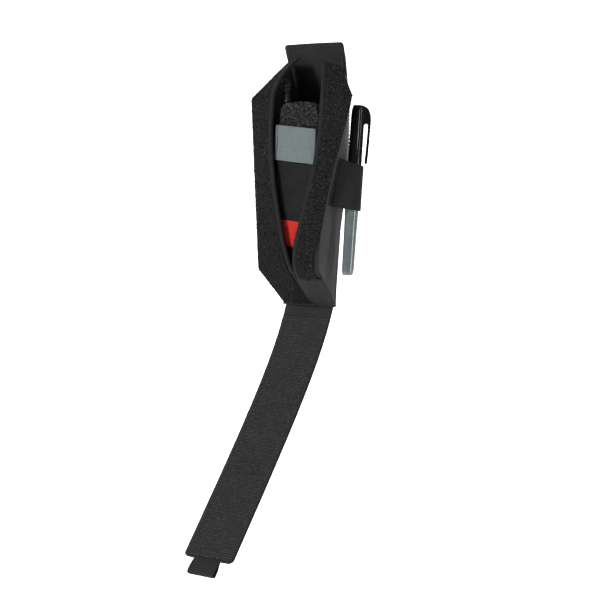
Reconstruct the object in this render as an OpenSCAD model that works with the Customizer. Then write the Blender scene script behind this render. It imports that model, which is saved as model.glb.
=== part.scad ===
// Tourniquet carry pouch: an open vertical fabric pouch that holds a folded windlass tourniquet,
// with a long hook-faced flap that hangs open and a marker pen in an elastic side loop.
// Origin: middle of the belt loop's outer face. +Z up, the mouth faces -Y.

/* [Pouch] */
// Width of the back panel
back_w = 50; // [48:1:54]
// Height of the straight part of the back panel, above the hem
back_h = 170; // [165:1:172]
// Depth from the back panel to the front fold lines
depth = 34; // [33:0.5:36]
// Height of the lower front corners above the hem
low_h = 27; // [25:1:28]
// Height of the upper front corners above the hem
top_h = 166; // [165:1:168]
// Half width at the lower front corners
low_half = 31; // [30:1:33]
// Half width at the upper front corners
top_half = 49; // [47:1:51]
// How far the right fold line bows inward between its corners
side_bow = 7; // [0:0.5:8]
// Thickness of the pouch fabric
cloth = 1.4; // [1:0.1:1.6]
// Thickness of the loop tape on the lips
loop_tape = 1.1; // [0.8:0.1:1.2]

/* [Mouth] */
// Half width of the mouth at its top
mouth_half = 22.5; // [22:0.5:24]
// Height at which the two lips meet
mouth_low = 25; // [24:1:26]
// How far the inner edges stand forward of the fold lines
lip_rise = 5; // [4.5:0.1:6]
// How far the foot of the mouth lies to the right of the middle
foot_shift = 4.8; // [0:0.2:6]

/* [Top tab] */
// Width of the top tab
tab_w = 55.6; // [52:0.2:56]
// Length of the top tab
tab_l = 46; // [40:1:48]
// Lean of the top tab, in degrees from upright
tab_lean = 24; // [22:0.5:26]

/* [Flap] */
// Width of the flap
flap_w = 47; // [44:1:50]
// Length of the stretch that covers the slanted base
flap_low = 46; // [45:0.5:48]
// Length of the stretch that covers the front
flap_mid = 139; // [137:1:140]
// Length of the end stretch
flap_end = 44; // [38:1:46]
// Length of the pull tab
pull_l = 18; // [14:1:20]

/* [Tourniquet] */
// Width of the tourniquet band
band_w = 38; // [36:0.5:38]
// Length of the folded bundle
bundle_l = 134; // [130:1:136]
// Length of the windlass rod
rod_l = 137; // [130:1:139]
// Diameter of the windlass rod
rod_d = 9; // [8:0.1:9.2]
// Height of the time strap
time_h = 29; // [25:1:30]

/* [Marker] */
// Length of the marker with its cap on
marker_l = 137; // [130:1:138]
// Largest diameter of the marker's barrel
marker_d = 11.6; // [11:0.1:12]

/* [Hidden] */
$fn = 48;
$side = 1;                  // 1 on the right, and -1 in the mirrored frame of the left

gap = 0.2;                  // clearance between sewn neighbours
loop_stand = 6.5;           // how far the belt loop stands off the back panel
hem_z = -95;                // height of the hem below the origin
half_w = back_w / 2;
slant = [0, -0.773, 0.634]; // direction up the slanted base, in Y and Z
base_out = [0, -0.634, -0.773];
hem = [0, -1.9, 0.3];
tape_end = 0.86;            // share of a lip's width that the loop tape covers
web_t = 1.4;                // thickness of the tourniquet's webbing
flap_cloth = 1.5;
hook_t = 1;
tilt = 2;                   // forward tilt of the bundle in the pouch
bundle_at = [0, -31.8, 29];
rod_lean = 7;
rod_at = [-11.2, 9.9, 85];
marker_at = [44.3, -16, 24.4];
cap_l = 60;
clip_z = 86;                // lower edge of the windlass clip
clip_h = 24;
time_z = 84;                // lower edge of the time strap
time_w = 36.8;
loop_z = [79, 117];         // lower and upper edge of the elastic loops

function lerp(a, b, t) = a + (b - a) * t;
function bezier(a, b, c, t) = lerp(lerp(a, b, t), lerp(b, c, t), t);
function steps(n) = [for (i = [0:n]) i / n];
function moved(grid, v) = [for (row = grid) [for (p = row) p + v]];

// Part of a height between the lower and upper front corners, from 0 to 1
function part_up(z) = (z - low_h) / (top_h - low_h);
// How far the fold line bows inward at a height: only the right one does
function bow(z) = $side > 0 ? side_bow * sin(180 * pow(min(1, max(0, part_up(z))), 0.6)) : 0;
// Point on the right-hand front fold line
function fold(z) = [lerp(low_half, top_half, part_up(z)) - bow(z), -depth, z];
// How far the mouth has opened at a height, from 0 to 1
function opened(z) = sin(90 * min(1, max(0.004, (z - mouth_low) / 125)));
// How far the mouth's two edges turn to the right near its foot
function foot(z) = $side * foot_shift * pow(max(0, (mouth_low + 25 - z) / 25), 1.5);
// Point on the right-hand inner edge of the mouth
function inner(z) = [mouth_half * pow(opened(z), 1.3) + foot(z), -depth - lip_rise * sqrt(opened(z)), z];
// Point on the right front lip: u is 0 at the fold and 1 at the inner edge
function lip(z, u) = lerp(fold(z), inner(z), u);

// Right top lip: t runs up from the front corner to the tab
top_fold = [[top_half, -depth, top_h], [26, -16.5, 198]];
top_edge = [inner(top_h), [21.3, -36.8, 185], [10.9, -23.5, 200]];
function top_lip(t, u) =
    lerp(lerp(top_fold[0], top_fold[1], t), bezier(top_edge[0], top_edge[1], top_edge[2], t), u);

// Point on the slanted base: x across, s up from the hem, out from its plane
slant_l = (depth - 1.9) / 0.773;
function base(x, s, out = 0) = hem + [x, 0, 0] + slant * s + base_out * out;

// Right wall: t runs up, u runs from the back edge to the front fold
wall_low = [3.4, low_h + 1.8];
function wall_row(t, n) =
    let (b = [half_w, -cloth - gap, lerp(wall_low[0], back_h, t)],
         f = fold(lerp(wall_low[1], top_h, t)) + [-0.3, cloth + gap, 0])
    [for (u = steps(n)) lerp(b, f, u)];
// Outer X of the right wall at a depth and a height
function wall_x(y, z) =
    let (u = -y / depth, z0 = lerp(wall_low[0], wall_low[1], u), z1 = lerp(back_h, top_h, u))
    lerp(half_w, fold(lerp(wall_low[1], top_h, (z - z0) / (z1 - z0)))[0], u);

// Closed solid between an outer grid of points and an inner one.
// Rows run up and columns run to the left, as seen from outside.
module shell(outer, inner_grid) {
    rows = len(outer);
    cols = len(outer[0]);
    n = rows * cols;
    points = concat([for (r = outer) each r], [for (r = inner_grid) each r]);
    at = function(i, j) i * cols + j;
    faces = concat(
        [for (i = [0:rows - 2], j = [0:cols - 2])
            [at(i, j), at(i, j + 1), at(i + 1, j + 1)]],
        [for (i = [0:rows - 2], j = [0:cols - 2])
            [at(i, j), at(i + 1, j + 1), at(i + 1, j)]],
        [for (i = [0:rows - 2], j = [0:cols - 2])
            [n + at(i, j), n + at(i + 1, j + 1), n + at(i, j + 1)]],
        [for (i = [0:rows - 2], j = [0:cols - 2])
            [n + at(i, j), n + at(i + 1, j), n + at(i + 1, j + 1)]],
        [for (j = [0:cols - 2]) [at(0, j), n + at(0, j), n + at(0, j + 1)]],
        [for (j = [0:cols - 2]) [at(0, j), n + at(0, j + 1), at(0, j + 1)]],
        [for (j = [0:cols - 2]) [at(rows - 1, j), at(rows - 1, j + 1), n + at(rows - 1, j + 1)]],
        [for (j = [0:cols - 2]) [at(rows - 1, j), n + at(rows - 1, j + 1), n + at(rows - 1, j)]],
        [for (i = [0:rows - 2]) [at(i, 0), at(i + 1, 0), n + at(i + 1, 0)]],
        [for (i = [0:rows - 2]) [at(i, 0), n + at(i + 1, 0), n + at(i, 0)]],
        [for (i = [0:rows - 2]) [at(i, cols - 1), n + at(i, cols - 1), n + at(i + 1, cols - 1)]],
        [for (i = [0:rows - 2]) [at(i, cols - 1), n + at(i + 1, cols - 1), at(i + 1, cols - 1)]]
    );
    polyhedron(points, faces);
}

// Pouch frame: the hem is at Z 0 and the back panel's rear face at Y 0
module pouch() translate([0, -loop_stand, hem_z]) children();
module left_side() {
    $side = -1;
    mirror([1, 0, 0]) children();
}
// Frame of the folded tourniquet: its front face is at Y 0 and its lower end at Z 0
module bundle() pouch() translate(bundle_at) rotate([tilt, 0, 0]) children();

// ---- Pouch ----

module back_panel() color("#26262a") pouch() translate([-half_w, -cloth, 0])
    cube([back_w, cloth, back_h]);

module top_tab() color("#2c2c30") pouch()
    translate([0, -0.1, back_h + 1]) rotate([90 + tab_lean, 0, 0]) linear_extrude(1.6)
        difference() {
            polygon([[-half_w, 0], [half_w, 0], [tab_w / 2, tab_l * 0.7], [tab_w / 2, tab_l],
                [-tab_w / 2, tab_l], [-tab_w / 2, tab_l * 0.7]]);
            for (s = [-1, 1]) translate([s * (tab_w / 2 - 3), tab_l - 3]) difference() {
                translate([s > 0 ? 0 : -4, 0]) square(4);
                circle(3);
            }
        }

module wall() {
    top_row = [for (u = steps(6))
        lerp([24.6, -15, 194], fold(top_h) + [-1.4, 3, 0.2], u)];
    outer = concat([for (t = steps(14)) wall_row(t, 6)], [top_row]);
    shell(outer, moved(outer, [-cloth, 0, 0]));
}
module right_wall() color("#3a3a3d") pouch() wall();
module left_wall() color("#3a3a3d") pouch() left_side() wall();

// Strip of the front lip between two shares of its width, from depth d0 to d1 behind its face
module lip_strip(u0, u1, d0, d1, n = 4) {
    grid = [for (t = steps(16))
        let (z = lerp(low_h + 0.3, top_h - 0.3, t)) [for (u = steps(n)) lip(z, lerp(u0, u1, u))]];
    shell(moved(grid, [0, d0, 0]), moved(grid, [0, d1, 0]));
}
module right_lip() color("#1c1c1e") pouch() lip_strip(0, 1, 0, cloth);
module left_lip() color("#1c1c1e") pouch() left_side() lip_strip(0, 1, 0, cloth);
module lip_loop() lip_strip(0.01, tape_end, -loop_tape, -0.1);
module right_lip_loop() color("#252527") pouch() lip_loop();
module left_lip_loop() color("#252527") pouch() left_side() lip_loop();
module lip_binding() lip_strip(tape_end + 0.01, 1, -0.9, -0.1, 2);
module right_lip_binding() color("#161618") pouch() lip_binding();
module left_lip_binding() color("#161618") pouch() left_side() lip_binding();

module top_lip() {
    grid = [for (t = steps(8)) [for (u = steps(4)) top_lip(lerp(0.02, 1, t), u)]];
    shell(moved(grid, [0, -0.3, 0.4]), moved(grid, [0, 1.1, -0.6]));
}
module right_top_lip() color("#252527") pouch() top_lip();
module left_top_lip() color("#252527") pouch() left_side() top_lip();

// Quadrilateral panel on the slanted base, between two distances out from its plane
module base_quad(low, high, s0, s1, out0, out1) {
    outer = [[base(low[1], s0, out1), base(low[0], s0, out1)],
        [base(high[1], s1, out1), base(high[0], s1, out1)]];
    shell(outer, moved(outer, base_out * (out0 - out1)));
}
module left_base_lip() color("#1c1c1e") pouch() left_side()
    base_quad([gap - foot_shift, half_w], [gap - foot_shift, low_half], 1.4, slant_l - 0.9, -cloth, 0);
module left_base_loop() color("#252527") pouch() left_side()
    base_quad([gap - foot_shift, half_w - 0.5], [gap - foot_shift, low_half - 0.5],
        0, slant_l - 0.9, 0.02, loop_tape);
module right_base_lip() color("#252527") pouch()
    base_quad([foot_shift + gap, half_w], [foot_shift + gap, low_half], 1.4, slant_l - 0.9, -cloth, 0);
module base_panel() color("#2e2e32") pouch()
    base_quad([foot_shift + gap, half_w], [foot_shift + gap, low_half - 2], 0, slant_l * 0.8, 0.1, 1.5);

// Flat, empty elastic loop on the left wall
module left_elastic_loop() color("#1a1a1c") pouch() left_side() {
    outer = [for (z = loop_z) [for (u = steps(6))
        let (y = lerp(-4, -depth + 4, u)) [wall_x(y, z) + 1.6, y, z]]];
    shell(outer, moved(outer, [-1.2, 0, 0]));
}

// Elastic loop on the right wall, round the marker: r is the radius at the pen
function loop_path(z, r, d) =
    let (c = [marker_at[0], marker_at[1]],
         w1 = [wall_x(-3, z) + d, -3], w2 = [wall_x(-29, z) + d, -29],
         v1 = w1 - c, v2 = w2 - c,
         a1 = atan2(v1[1], v1[0]) - acos(r / norm(v1)),
         a2 = atan2(v2[1], v2[0]) + acos(r / norm(v2)))
    concat([[w1[0], w1[1], z]],
        [for (t = steps(14)) let (a = lerp(a1, a2, t)) [c[0] + r * cos(a), c[1] + r * sin(a), z]],
        [[w2[0], w2[1], z]]);
module right_elastic_loop() color("#1a1a1c") pouch()
    shell([for (z = loop_z) loop_path(z, marker_d / 2 + 1.5, 1.7)],
        [for (z = loop_z) loop_path(z, marker_d / 2 + 0.35, 0.5)]);

// Belt loop: webbing sewn down at both ends, standing off the back panel
module belt_loop() color("#1f1f22") rotate([90, 0, 90]) translate([0, 0, -19]) linear_extrude(38)
    polygon([
        [0, -30], [0, 30], [-4.6, 38], [-4.6, 48], [-6.4, 48], [-6.4, 36.6],
        [-1.7, 29.2], [-1.7, -29.2], [-6.4, -36.6], [-6.4, -48], [-4.6, -48], [-4.6, -38]
    ]);

// ---- Flap ----

flap_l = flap_low + flap_mid + flap_end;
flap_step = 1;
// Lean of the hanging flap from upright at a distance s along it
function flap_lean(s) = 34.5 - 18.5 * exp(-4.5 * s / flap_l);
// Top of the flap's hook face, in the pouch frame
flap_at = hem + base_out * 2.2;
flap_line = [for (s = 0, y = flap_at[1], z = flap_at[2]; s <= flap_l;
    y = y - flap_step * sin(flap_lean(s)), z = z - flap_step * cos(flap_lean(s)), s = s + flap_step)
        [y, z]];
// Point at a distance s along the flap and a depth d behind its hook face
function flap_point(s, d) =
    let (i = min(floor(s), len(flap_line) - 2), a = flap_lean(s))
    lerp(flap_line[i], flap_line[i + 1], s - i) + d * [cos(a), -sin(a)];

module flap_piece(s0, s1, d0, d1, w, n) rotate([90, 0, 90])
    translate([0, 0, -w / 2]) linear_extrude(w) polygon(concat(
        [for (t = steps(n)) flap_point(lerp(s0, s1, t), d0)],
        [for (t = steps(n)) flap_point(lerp(s1, s0, t), d1)]));
module flap_cloth_piece(s0, s1, n) color("#2b2b2e") pouch()
    flap_piece(s0, s1, hook_t + 0.02, hook_t + flap_cloth, flap_w, n);
module flap_hook_piece(s0, s1, n) color("#343437") pouch()
    flap_piece(s0, s1, 0, hook_t, flap_w - 1, n);

module flap_base() flap_cloth_piece(0.3, flap_low - gap, 6);
module flap_base_hook() flap_hook_piece(10, flap_low - gap, 5);
module flap_middle() flap_cloth_piece(flap_low + gap, flap_low + flap_mid - gap, 12);
module flap_middle_hook() flap_hook_piece(flap_low + gap, flap_low + flap_mid - gap, 12);
module flap_end_panel() flap_cloth_piece(flap_low + flap_mid + gap, flap_l - 0.4, 4);
module flap_end_hook() flap_hook_piece(flap_low + flap_mid + gap, flap_l - 2, 4);

// Pull tab: a folded loop of webbing, open along its sides
pull_at = flap_point(flap_l, 0.2);
module pull_tab() color("#1a1a1c") pouch() translate([-3.5, pull_at[0], pull_at[1]])
    rotate([-flap_lean(flap_l), 0, 0]) rotate([90, 0, 90]) translate([0, 0, -12.5])
        linear_extrude(25) difference() {
            polygon([[0.2, -0.2], [2.2, -0.2], [4.6, -6], [4.6, 3 - pull_l], [3.4, 1 - pull_l],
                [1.2, 1 - pull_l], [0, 3 - pull_l], [0, -6]]);
            polygon([[1.2, -5], [3.4, -7], [3.4, 3.2 - pull_l], [1.2, 3.2 - pull_l]]);
        }

// ---- Tourniquet, in the bundle's frame ----

// Flattened loop of webbing: from y0 to y1 deep, from z0 to z1 high
module band_loop(y0, y1, z0, z1, t) rotate([90, 0, 90]) translate([0, 0, -band_w / 2])
    linear_extrude(band_w) difference() {
        racetrack((y0 + y1) / 2, (y1 - y0) / 2, z0, z1);
        racetrack((y0 + y1) / 2, (y1 - y0) / 2 - t, z0 + t, z1 - t);
    }
module racetrack(y, r, z0, z1) {
    translate([y - r, z0 + r]) square([2 * r, z1 - z0 - 2 * r]);
    for (z = [z0 + r, z1 - r]) translate([y, z]) circle(r);
}

module outer_band() color("#202022") bundle() band_loop(web_t + 0.3, web_t + 3.4, 3, bundle_l, web_t);
module inner_band() color("#202022") bundle() band_loop(17.6, 27.4, 4, bundle_l - 6, 2.4);
module tail_band() color("#202023") bundle() translate([-band_w / 2, 0, 37])
    cube([band_w, web_t, 75]);
module red_tip() color("#d23a2c") bundle() translate([0, web_t, 36.8]) rotate([90, 0, 0])
    linear_extrude(web_t) intersection() {
        translate([-band_w / 2, -22]) square([band_w, 22]);
        translate([0, 3]) circle(24, $fn = 96);
    }
module base_plate() color("#232326") bundle() translate([-17, 15.2, 22]) cube([34, 2, clip_z - 22.3]);
// Open channel that holds the rod: a floor, two walls and a hook over one side
module windlass_clip() color("#1e1e20") bundle() translate([0, 0, clip_z])
    linear_extrude(clip_h) polygon([[-21.6, 17.2], [-21.6, 5.4], [-19.4, 5.4], [-19.4, 15.2],
        [19.4, 15.2], [19.4, 7], [14, 7], [14, 5.4], [21.6, 5.4], [21.6, 17.2]]);
module routing_buckle() color("#1c1c1e") bundle() translate([-band_w / 2, 19.4 + 0.8, 12])
    difference() {
        cube([band_w, 3.4, 30]);
        for (z = [4, 13, 22]) translate([4, -1, z]) cube([band_w - 8, 6, 4.6]);
    }
module time_strap_anchor() color("#6f7878") bundle() translate([-23, 3, time_z])
    cube([1.2, 14, time_h]);
// The writable strap across the front, which peels from its left edge
module time_strap() color("#7d8787") bundle() translate([-time_w / 2, -1.5, time_z])
    cube([time_w, 1.2, time_h]);

// Windlass rod: a round bar with ribs near both ends
module windlass_rod() color("#141416") bundle() translate(rod_at) rotate([0, -rod_lean, 0])
    rotate_extrude() rod_profile();
module rod_profile() {
    r = rod_d / 2;
    half = rod_l / 2;
    square_from(0, r - 0.7, -half, half);
    square_from(0, r, -half + 22, half - 22);
    for (s = [-1, 1], k = [0:3]) {
        rib = s * (half - 3 - 5 * k);
        square_from(0, r, rib - 1.5, rib + 1.5);
    }
}
module square_from(x0, x1, y0, y1) translate([x0, y0]) square([x1 - x0, y1 - y0]);

// ---- Marker pen, point up under its cap ----

module marker() pouch() translate(marker_at) children();
barrel_l = marker_l - cap_l + 8;
module marker_barrel() color("#6b7476") marker() rotate_extrude() polygon([
    [0, 3], [3.2, 3], [3.2, 0.2], [4.4, 0.4], [4.8, 1.6], [5.1, 30], [marker_d / 2, 62],
    [marker_d / 2, barrel_l - 9], [4.6, barrel_l - 8.6], [4.6, barrel_l], [0, barrel_l]
]);
module marker_end_plug() color("#5c6466") marker() translate([0, 0, 0.1]) cylinder(d = 6, h = 2.8);
module marker_grip() color("#202224") marker() translate([0, 0, barrel_l + 0.05])
    cylinder(r1 = 3.9, r2 = 2.6, h = 14);
module marker_nib() color("#101012") marker() translate([0, 0, barrel_l + 14.1])
    cylinder(r1 = 1.8, r2 = 0.9, h = 6);
module marker_cap() color("#0c0c0e") marker() rotate_extrude() polygon([
    [4.9, barrel_l - 8.4], [5.8, barrel_l - 8.4], [5.5, marker_l - 6], [4.4, marker_l],
    [0, marker_l], [0, marker_l - 3], [3.4, marker_l - 3], [4.7, marker_l - 12], [4.9, barrel_l]
]);
// Clip: a tongue that hangs beside the cap from its top
clip_turn = 30;
module marker_clip() color("#0c0c0e") marker() rotate([0, 0, clip_turn]) rotate([90, 0, 0])
    translate([0, 0, -2.2]) linear_extrude(4.4) union() {
        polygon([[4.7, marker_l - 3.6], [5.9, marker_l - 5.5], [7.9, marker_l - 8], [7.9, marker_l - 42],
            [9.6, marker_l - 42], [9.6, marker_l - 5], [7, marker_l - 1.4], [4.7, marker_l - 1]]);
        translate([8.5, marker_l - 42]) circle(1.3);
    }

back_panel();
top_tab();
left_wall();
right_wall();
left_lip();
right_lip();
left_lip_loop();
right_lip_loop();
left_lip_binding();
right_lip_binding();
left_top_lip();
right_top_lip();
left_base_lip();
left_base_loop();
right_base_lip();
base_panel();
left_elastic_loop();
right_elastic_loop();
belt_loop();
flap_base();
flap_base_hook();
flap_middle();
flap_middle_hook();
flap_end_panel();
flap_end_hook();
pull_tab();
outer_band();
tail_band();
red_tip();
inner_band();
base_plate();
windlass_clip();
routing_buckle();
time_strap_anchor();
time_strap();
windlass_rod();
marker_barrel();
marker_grip();
marker_nib();
marker_end_plug();
marker_cap();
marker_clip();
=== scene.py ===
"""An open tourniquet pouch with its folded tourniquet and marker pen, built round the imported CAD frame."""
import math

import bmesh
import bpy
import numpy as np
from mathutils import Matrix, Vector


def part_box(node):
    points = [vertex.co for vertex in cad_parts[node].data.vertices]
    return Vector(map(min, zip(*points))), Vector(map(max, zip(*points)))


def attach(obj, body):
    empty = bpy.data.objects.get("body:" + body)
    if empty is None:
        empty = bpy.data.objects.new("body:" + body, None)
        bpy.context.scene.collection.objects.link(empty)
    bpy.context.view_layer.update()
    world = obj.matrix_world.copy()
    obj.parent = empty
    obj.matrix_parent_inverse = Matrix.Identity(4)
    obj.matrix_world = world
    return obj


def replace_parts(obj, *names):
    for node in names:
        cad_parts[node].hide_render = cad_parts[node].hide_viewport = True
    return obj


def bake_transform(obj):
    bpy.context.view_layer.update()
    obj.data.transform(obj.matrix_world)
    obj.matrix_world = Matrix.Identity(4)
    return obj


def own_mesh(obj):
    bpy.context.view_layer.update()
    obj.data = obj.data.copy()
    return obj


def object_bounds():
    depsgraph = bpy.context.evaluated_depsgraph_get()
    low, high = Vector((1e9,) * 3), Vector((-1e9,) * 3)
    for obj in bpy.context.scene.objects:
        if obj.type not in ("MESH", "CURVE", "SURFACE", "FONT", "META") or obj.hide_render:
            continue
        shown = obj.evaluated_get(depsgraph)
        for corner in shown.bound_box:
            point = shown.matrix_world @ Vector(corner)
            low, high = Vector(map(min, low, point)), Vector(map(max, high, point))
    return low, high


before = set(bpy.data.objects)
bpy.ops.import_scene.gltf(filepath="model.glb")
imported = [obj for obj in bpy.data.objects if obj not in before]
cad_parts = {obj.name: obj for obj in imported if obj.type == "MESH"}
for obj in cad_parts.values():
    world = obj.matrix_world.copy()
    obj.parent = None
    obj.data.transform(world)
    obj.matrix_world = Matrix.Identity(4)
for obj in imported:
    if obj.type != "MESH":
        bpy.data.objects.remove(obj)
cad_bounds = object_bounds()
MM = 0.001
rng = np.random.default_rng(7)

# ---------------------------------------------------------------- places, from the frame, in metres


def low(node):
    return np.array(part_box(node)[0])


def high(node):
    return np.array(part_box(node)[1])


HALF_W = high("back_panel")[0]
REAR = high("back_panel")[1]
HEM = low("back_panel")[2]
BEND = high("back_panel")[2]
CLOTH = REAR - low("back_panel")[1]
TOP_HALF = high("right_lip")[0]
LOW_HALF = high("right_base_lip")[0]
LIP_LOW = low("right_lip")[2]
LIP_TOP = high("right_lip")[2]
LIP_RISE = 5 * MM
FOLD_Y = low("right_lip")[1] + LIP_RISE
MOUTH_HALF = 22.5 * MM
MOUTH_LOW = LIP_LOW - 2.3 * MM
MOUTH_RUN = 125 * MM
FOOT_SHIFT = 4.8 * MM
BASE_SPLIT = FOOT_SHIFT * 0.9
SIDE_BOW = 7.0 * MM
TAPE_END = 0.86
SIDES = ((-1, "left"), (1, "right"))
EDGE_ROUND = 0.35
BINDING_W = 3.6 * MM


# ---------------------------------------------------------------- mesh helpers


def lerp(a, b, t):
    return a + (b - a) * t


def unit(v):
    v = np.asarray(v, float)
    return v / np.maximum(np.linalg.norm(v, axis=-1, keepdims=True), 1e-12)


def new_mesh(name, verts, faces, body, material, uv=None, sharp=40):
    """Makes a mesh object that rides on a body. uv is one pair for each vertex."""
    mesh = bpy.data.meshes.new(name)
    mesh.from_pydata([tuple(v) for v in np.asarray(verts, float)], [], [tuple(f) for f in faces])
    mesh.validate()
    if uv is not None:
        layer = mesh.uv_layers.new(name="UVMap")
        index = np.empty(len(mesh.loops), int)
        mesh.loops.foreach_get("vertex_index", index)
        layer.data.foreach_set("uv", np.asarray(uv, float)[index].ravel())
    mesh.polygons.foreach_set("use_smooth", [True] * len(mesh.polygons))
    if sharp:
        mesh.set_sharp_from_angle(angle=math.radians(sharp))
    mesh.materials.append(material)
    obj = bpy.data.objects.new(name, mesh)
    bpy.context.scene.collection.objects.link(obj)
    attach(obj, body)
    return obj


def grid_normals(points):
    du = np.gradient(points, axis=0)
    dv = np.gradient(points, axis=1)
    return unit(np.cross(du, dv))


def arc_lengths(points):
    """Distance along both directions of a grid, as one (u, v) pair for each point."""
    du = np.linalg.norm(np.diff(points, axis=0), axis=-1).mean(1)
    dv = np.linalg.norm(np.diff(points, axis=1), axis=-1).mean(0)
    u = np.concatenate([[0], np.cumsum(du)])
    v = np.concatenate([[0], np.cumsum(dv)])
    return np.stack(np.broadcast_arrays(v[None, :], u[:, None]), -1)


def distances(run):
    """Distance along a run of points, at each of them."""
    return np.concatenate([[0], np.cumsum(np.linalg.norm(np.diff(run, axis=0), axis=1))])


def resampled(corners, count):
    """The same run of points, evenly spaced."""
    corners = np.array(corners, float)
    steps = distances(corners)
    at = np.linspace(0, steps[-1], count)
    return np.stack([np.interp(at, steps, values) for values in corners.T], 1)


def blurred(run, blur, held=True):
    """Rounds the corners of a run of even points. Its ends stay where they are, or else they draw in."""
    kernel = np.hanning(2 * blur + 3)[1:-1]
    kernel /= kernel.sum()
    pad = {"mode": "reflect", "reflect_type": "odd"} if held else {"mode": "edge"}
    return np.stack([np.convolve(np.pad(values, blur, **pad), kernel, "valid") for values in run.T], 1)


def smooth_route(corners, count, blur):
    return blurred(resampled(corners, count), blur)


def grid_faces(rows, cols, start=0, flip=False, wrap=False):
    faces = []
    last = cols if wrap else cols - 1
    for i in range(rows - 1):
        for j in range(last):
            k = (j + 1) % cols
            a, b, c, d = (start + i * cols + j, start + i * cols + k,
                          start + (i + 1) * cols + k, start + (i + 1) * cols + j)
            faces.append((a, d, c, b) if flip else (a, b, c, d))
    return faces


def sheet(name, points, thick, body, material, bumps=None, run=None):
    """A closed sheet of cloth: points is its face, and it lies thick behind the face."""
    points = np.asarray(points, float)
    normal = grid_normals(points)
    uv = arc_lengths(points) + [0, run or 0]
    face = points + normal * (0 if bumps is None else bumps[..., None])
    back = points - normal * thick
    edge = border_mask(points.shape[:2], run is None)
    face[edge] -= (normal * thick * EDGE_ROUND)[edge]
    back[edge] += (normal * thick * EDGE_ROUND)[edge]
    rows, cols = points.shape[:2]
    n = rows * cols
    faces = grid_faces(rows, cols) + grid_faces(rows, cols, n, flip=True)
    ring = border_ring(rows, cols)
    for a, b in zip(ring, ring[1:] + ring[:1]):
        faces.append((a, n + a, n + b, b))
    verts = np.concatenate([face.reshape(-1, 3), back.reshape(-1, 3)])
    uvs = np.concatenate([uv.reshape(-1, 2), uv.reshape(-1, 2) + 0.5])
    piece = new_mesh(name, verts, faces, body, material, uvs)
    return piece


def border_mask(shape, ends=True):
    mask = np.zeros(shape, bool)
    mask[:, 0] = mask[:, -1] = True
    if ends:
        mask[0, :] = mask[-1, :] = True
    return mask


def border_ring(rows, cols):
    """Indices round a grid's edge, in the order that closes the sheet outward."""
    ring = [j for j in range(cols)]
    ring += [i * cols + cols - 1 for i in range(1, rows)]
    ring += [(rows - 1) * cols + j for j in range(cols - 2, -1, -1)]
    ring += [i * cols for i in range(rows - 2, 0, -1)]
    return ring


def soft_noise(shape, blur, amount):
    """Seeded noise on a grid, smoothed over blur points."""
    a = rng.normal(size=shape)
    kernel = np.hanning(2 * blur + 3)[1:-1]
    kernel /= kernel.sum()
    for axis in (0, 1):
        a = np.apply_along_axis(lambda r: np.convolve(np.pad(r, blur, "edge"), kernel, "valid"), axis, a)
    return a / a.std() * amount


def tubes(name, paths, radius, sides, body, material):
    """Many thin tubes as one mesh, each along its own short path. All the paths have as many points."""
    paths = np.asarray(paths, float)
    count, steps = paths.shape[:2]
    tangent = unit(np.gradient(paths, axis=1))
    side = unit(np.cross(tangent, [0.31, 0.52, 0.79]))
    up = np.cross(tangent, side)
    angles = np.linspace(0, 2 * math.pi, sides, endpoint=False)
    rings = [paths + radius * (math.cos(a) * side + math.sin(a) * up) for a in angles]
    verts = np.stack(rings, 2).reshape(-1, 3)
    one = grid_faces(steps, sides, wrap=True)
    end = (steps - 1) * sides
    one += [tuple(range(sides - 1, -1, -1)), tuple(range(end, end + sides))]
    faces = [tuple(v + k * steps * sides for v in face) for k in range(count) for face in one]
    return new_mesh(name, verts, faces, body, material, sharp=0)


def stitches(name, path, out, body, pitch=3.2 * MM, length=2.3 * MM, radius=0.28 * MM):
    """A row of thread stitches along a path. out is the direction that the cloth faces."""
    path = np.asarray(path, float)
    along = distances(path)
    count = max(1, int(along[-1] / pitch))
    out = np.broadcast_to(np.asarray(out, float), path.shape)
    rows = []
    for k in range(count):
        middle = (k + 0.5) * along[-1] / count
        spots = np.linspace(middle - length / 2, middle + length / 2, 5)
        line = np.stack([np.interp(spots, along, path[:, c]) for c in range(3)], 1)
        facing = np.stack([np.interp(spots, along, out[:, c]) for c in range(3)], 1)
        rise = np.array([-0.3, 0.5, 0.8, 0.5, -0.3])[:, None] * radius
        rows.append(line + unit(facing) * rise)
    return tubes(name, rows, radius, 5, body, THREAD)


def pile(name, points, normals, size, wire, body, material, spread=0.5):
    """Loop pile: a small arc of yarn at each point, standing along its normal, turned at random."""
    turn = rng.uniform(0, math.pi, len(points))[:, None]
    scale = rng.uniform(0.7, 1.3, len(points))[:, None] * size
    side = unit(np.cross(normals, [0.3, 0.2, 0.9]))
    across = side * np.cos(turn) + np.cross(normals, side) * np.sin(turn)
    rise = unit(normals + rng.normal(scale=spread, size=(len(points), 3)))
    paths = [points + scale * (math.cos(a) * across + math.sin(a) * rise)
             for a in np.linspace(0.1, math.pi - 0.1, 5)]
    return tubes(name, np.stack(paths, 1), wire, 3, body, material)


def scatter(points, normals, count):
    """Random places on a grid surface: points and the normals there."""
    rows, cols = points.shape[:2]
    u = rng.uniform(0.4, rows - 1.4, count)
    v = rng.uniform(0.4, cols - 1.4, count)
    i, j = u.astype(int), v.astype(int)
    fu, fv = (u - i)[:, None], (v - j)[:, None]
    p = ((1 - fu) * (1 - fv) * points[i, j] + fu * (1 - fv) * points[i + 1, j]
         + (1 - fu) * fv * points[i, j + 1] + fu * fv * points[i + 1, j + 1])
    return p, normals[i, j]


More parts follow.
